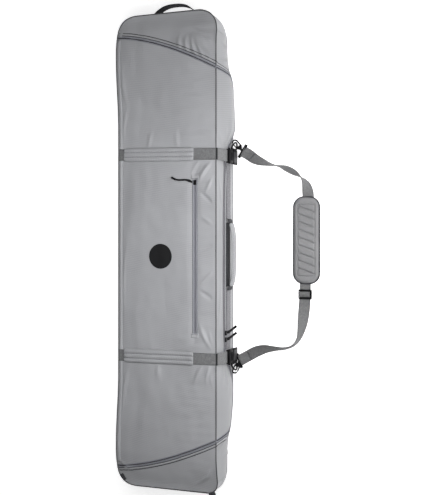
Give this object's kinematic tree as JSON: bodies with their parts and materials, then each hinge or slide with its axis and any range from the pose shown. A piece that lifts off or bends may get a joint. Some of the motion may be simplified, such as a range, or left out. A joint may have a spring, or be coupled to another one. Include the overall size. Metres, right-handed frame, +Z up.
{
  "type": "snowboard bag",
  "caption": "Long padded snowboard bag lying on its back, with a hinged zip-round front, outer pocket, compression straps, grab handles and a clip-on shoulder strap.",
  "frame": {"origin": "middle of the back panel's outer face, which the bag rests on", "axes": "+X across the bag towards the carrying side with the buckles, +Y along the bag towards the end handle, +Z up out of the front panel"},
  "size_m": [0.6659, 1.6643, 0.181],
  "materials": {
    "shell": "matte ripstop polyester, mid grey",
    "shell_light": "matte ripstop polyester, the same grey on the side",
    "lining": "plain dark lining and base cloth",
    "belt": "grey woven webbing",
    "dark_belt": "dark grey woven webbing",
    "piping": "dark grey corded piping",
    "tape": "grey coil zipper tape",
    "black_plastic": "moulded black acetal",
    "charcoal_plastic": "moulded charcoal acetal",
    "black_metal": "satin black plated zinc",
    "cord": "black braided cord",
    "pad": "quilted grey pad cloth"
  },
  "bodies": {
    "tray": {"back_panel": "lining", "left_gusset": "shell", "right_gusset": "shell_light", "top_end_panel": "shell", "bottom_end_panel": "shell", "top_cap_front": "shell", "bottom_cap_front": "shell", "top_end_piping": "piping", "bottom_end_piping": "piping", "inner_tie_top": "dark_belt", "inner_tie_bottom": "dark_belt", "corner_tab_left": "dark_belt", "corner_tab_right": "dark_belt", "tray_zipper_tape": "tape", "upper_buckle_female": "charcoal_plastic", "lower_buckle_female": "charcoal_plastic", "upper_anchor_webbing": "belt", "lower_anchor_webbing": "belt", "side_webbing_upper": "belt", "side_webbing_lower": "belt", "upper_ring_tab": "belt", "lower_ring_tab": "belt", "upper_strap_eye": "black_plastic", "lower_strap_eye": "black_plastic", "shoulder_webbing_upper": "belt", "shoulder_webbing_lower": "belt", "shoulder_pad": "pad"},
    "lid": {"front_panel": "shell", "lid_side_strip": "shell_light", "front_piping": "piping", "lid_zipper_tape": "tape", "pocket_zipper_tape": "tape", "upper_strap_front": "belt", "upper_strap_sleeve": "shell", "upper_strap_side": "belt", "lower_strap_front": "belt", "lower_strap_sleeve": "shell", "lower_strap_side": "belt"},
    "upper_slider": {"upper_slider": "black_plastic"},
    "upper_pull": {"upper_pull": "cord"},
    "lower_slider": {"lower_slider": "black_plastic"},
    "lower_pull": {"lower_pull": "cord"},
    "pocket_slider": {"pocket_slider": "black_plastic"},
    "pocket_pull": {"pocket_pull": "cord"},
    "grab_handle": {"grab_handle_webbing": "dark_belt", "grab_handle_wrap": "shell_light"},
    "end_handle": {"end_handle": "dark_belt"},
    "tri_glide": {"tri_glide": "black_plastic"},
    "upper_buckle_male": {"upper_buckle_male": "black_plastic"},
    "upper_buckle_arm_a": {"upper_buckle_arm_a": "black_plastic"},
    "upper_buckle_arm_b": {"upper_buckle_arm_b": "black_plastic"},
    "upper_d_ring": {"upper_d_ring": "black_metal"},
    "upper_hook": {"upper_snap_hook": "black_metal"},
    "upper_gate": {"upper_hook_gate": "black_metal"},
    "lower_buckle_male": {"lower_buckle_male": "black_plastic"},
    "lower_buckle_arm_a": {"lower_buckle_arm_a": "black_plastic"},
    "lower_buckle_arm_b": {"lower_buckle_arm_b": "black_plastic"},
    "lower_d_ring": {"lower_d_ring": "black_metal"},
    "lower_hook": {"lower_snap_hook": "black_metal"},
    "lower_gate": {"lower_hook_gate": "black_metal"}
  },
  "joints": [
    {"name": "lid_open", "type": "hinge", "parent": "tray", "child": "lid", "pos_m": [-0.177, 0, 0.17], "axis": [0, -1, 0], "range_deg": [0, 160]},
    {"name": "upper_slider_run", "type": "slide", "parent": "lid", "child": "upper_slider", "axis": [0, 1, 0], "range_m": [0, 0.5]},
    {"name": "upper_pull_lift", "type": "hinge", "parent": "upper_slider", "child": "upper_pull", "pos_m": [0.1964, -0.275, 0.112], "axis": [0, -1, 0], "range_deg": [0, 70]},
    {"name": "lower_slider_run", "type": "slide", "parent": "lid", "child": "lower_slider", "axis": [0, -1, 0], "range_m": [0, 0.02]},
    {"name": "lower_pull_lift", "type": "hinge", "parent": "lower_slider", "child": "lower_pull", "pos_m": [0.1964, -0.297, 0.112], "axis": [0, -1, 0], "range_deg": [0, 70]},
    {"name": "pocket_slider_run", "type": "slide", "parent": "lid", "child": "pocket_slider", "axis": [0, -1, 0], "range_m": [0, 0.47]},
    {"name": "pocket_pull_flip", "type": "hinge", "parent": "pocket_slider", "child": "pocket_pull", "pos_m": [0.0968, 0.227, 0.174], "axis": [0, 1, 0], "range_deg": [0, 90]},
    {"name": "upper_buckle_release", "type": "slide", "parent": "lid", "child": "upper_buckle_male", "axis": [0, 0, 1], "range_m": [0, 0.03], "deforming": ["upper_strap_side"]},
    {"name": "upper_arm_a_squeeze", "type": "slide", "parent": "upper_buckle_male", "child": "upper_buckle_arm_a", "axis": [0, 1, 0], "range_m": [0, 0.0025], "stiffness_N_per_m": 300},
    {"name": "upper_arm_b_squeeze", "type": "slide", "parent": "upper_buckle_male", "child": "upper_buckle_arm_b", "axis": [0, -1, 0], "range_m": [0, 0.0025], "stiffness_N_per_m": 300},
    {"name": "upper_ring_swing", "type": "hinge", "parent": "tray", "child": "upper_d_ring", "pos_m": [0.1924, 0.349, 0.034], "axis": [0, 0, 1], "range_deg": [-5, 5]},
    {"name": "upper_hook_swivel", "type": "hinge", "parent": "tray", "child": "upper_hook", "pos_m": [0.217, 0.344, 0.009], "axis": [0.4305, -0.647, -0.6294], "range_deg": [-12, 12]},
    {"name": "upper_gate_open", "type": "hinge", "parent": "upper_hook", "child": "upper_gate", "pos_m": [0.19789, 0.35611, 0.02574], "axis": [-0.3486, 0.524, -0.7771], "range_deg": [0, 15], "stiffness_Nm_per_rad": 0.02},
    {"name": "lower_buckle_release", "type": "slide", "parent": "lid", "child": "lower_buckle_male", "axis": [0, 0, 1], "range_m": [0, 0.03], "deforming": ["lower_strap_side"]},
    {"name": "lower_arm_a_squeeze", "type": "slide", "parent": "lower_buckle_male", "child": "lower_buckle_arm_a", "axis": [0, 1, 0], "range_m": [0, 0.0025], "stiffness_N_per_m": 300},
    {"name": "lower_arm_b_squeeze", "type": "slide", "parent": "lower_buckle_male", "child": "lower_buckle_arm_b", "axis": [0, -1, 0], "range_m": [0, 0.0025], "stiffness_N_per_m": 300},
    {"name": "lower_ring_swing", "type": "hinge", "parent": "tray", "child": "lower_d_ring", "pos_m": [0.1924, -0.386, 0.034], "axis": [0, 0, 1], "range_deg": [-5, 5]},
    {"name": "lower_hook_swivel", "type": "hinge", "parent": "tray", "child": "lower_hook", "pos_m": [0.205, -0.38, 0.009], "axis": [0.1381, 0.723, -0.6769], "range_deg": [-12, 12]},
    {"name": "lower_gate_open", "type": "hinge", "parent": "lower_hook", "child": "lower_gate", "pos_m": [0.21036, -0.40096, 0.02701], "axis": [-0.127, -0.6649, -0.736], "range_deg": [0, 15], "stiffness_Nm_per_rad": 0.02},
    {"name": "grab_handle_lift", "type": "hinge", "parent": "tray", "child": "grab_handle", "pos_m": [0.205, -0.0125, 0.101], "axis": [0, -1, 0], "range_deg": [0, 25]},
    {"name": "end_handle_flop", "type": "hinge", "parent": "tray", "child": "end_handle", "pos_m": [-0.0015, 0.81, 0.085], "axis": [1, 0, 0], "range_deg": [-15, 15]},
    {"name": "tri_glide_adjust", "type": "slide", "parent": "tray", "child": "tri_glide", "axis": [0, 1, 0], "range_m": [-0.04, 0.015]}
  ],
  "couplings": [
    {"joint": "upper_arm_b_squeeze", "follows": "upper_arm_a_squeeze", "ratio": 1},
    {"joint": "lower_arm_b_squeeze", "follows": "lower_arm_a_squeeze", "ratio": 1}
  ]
}
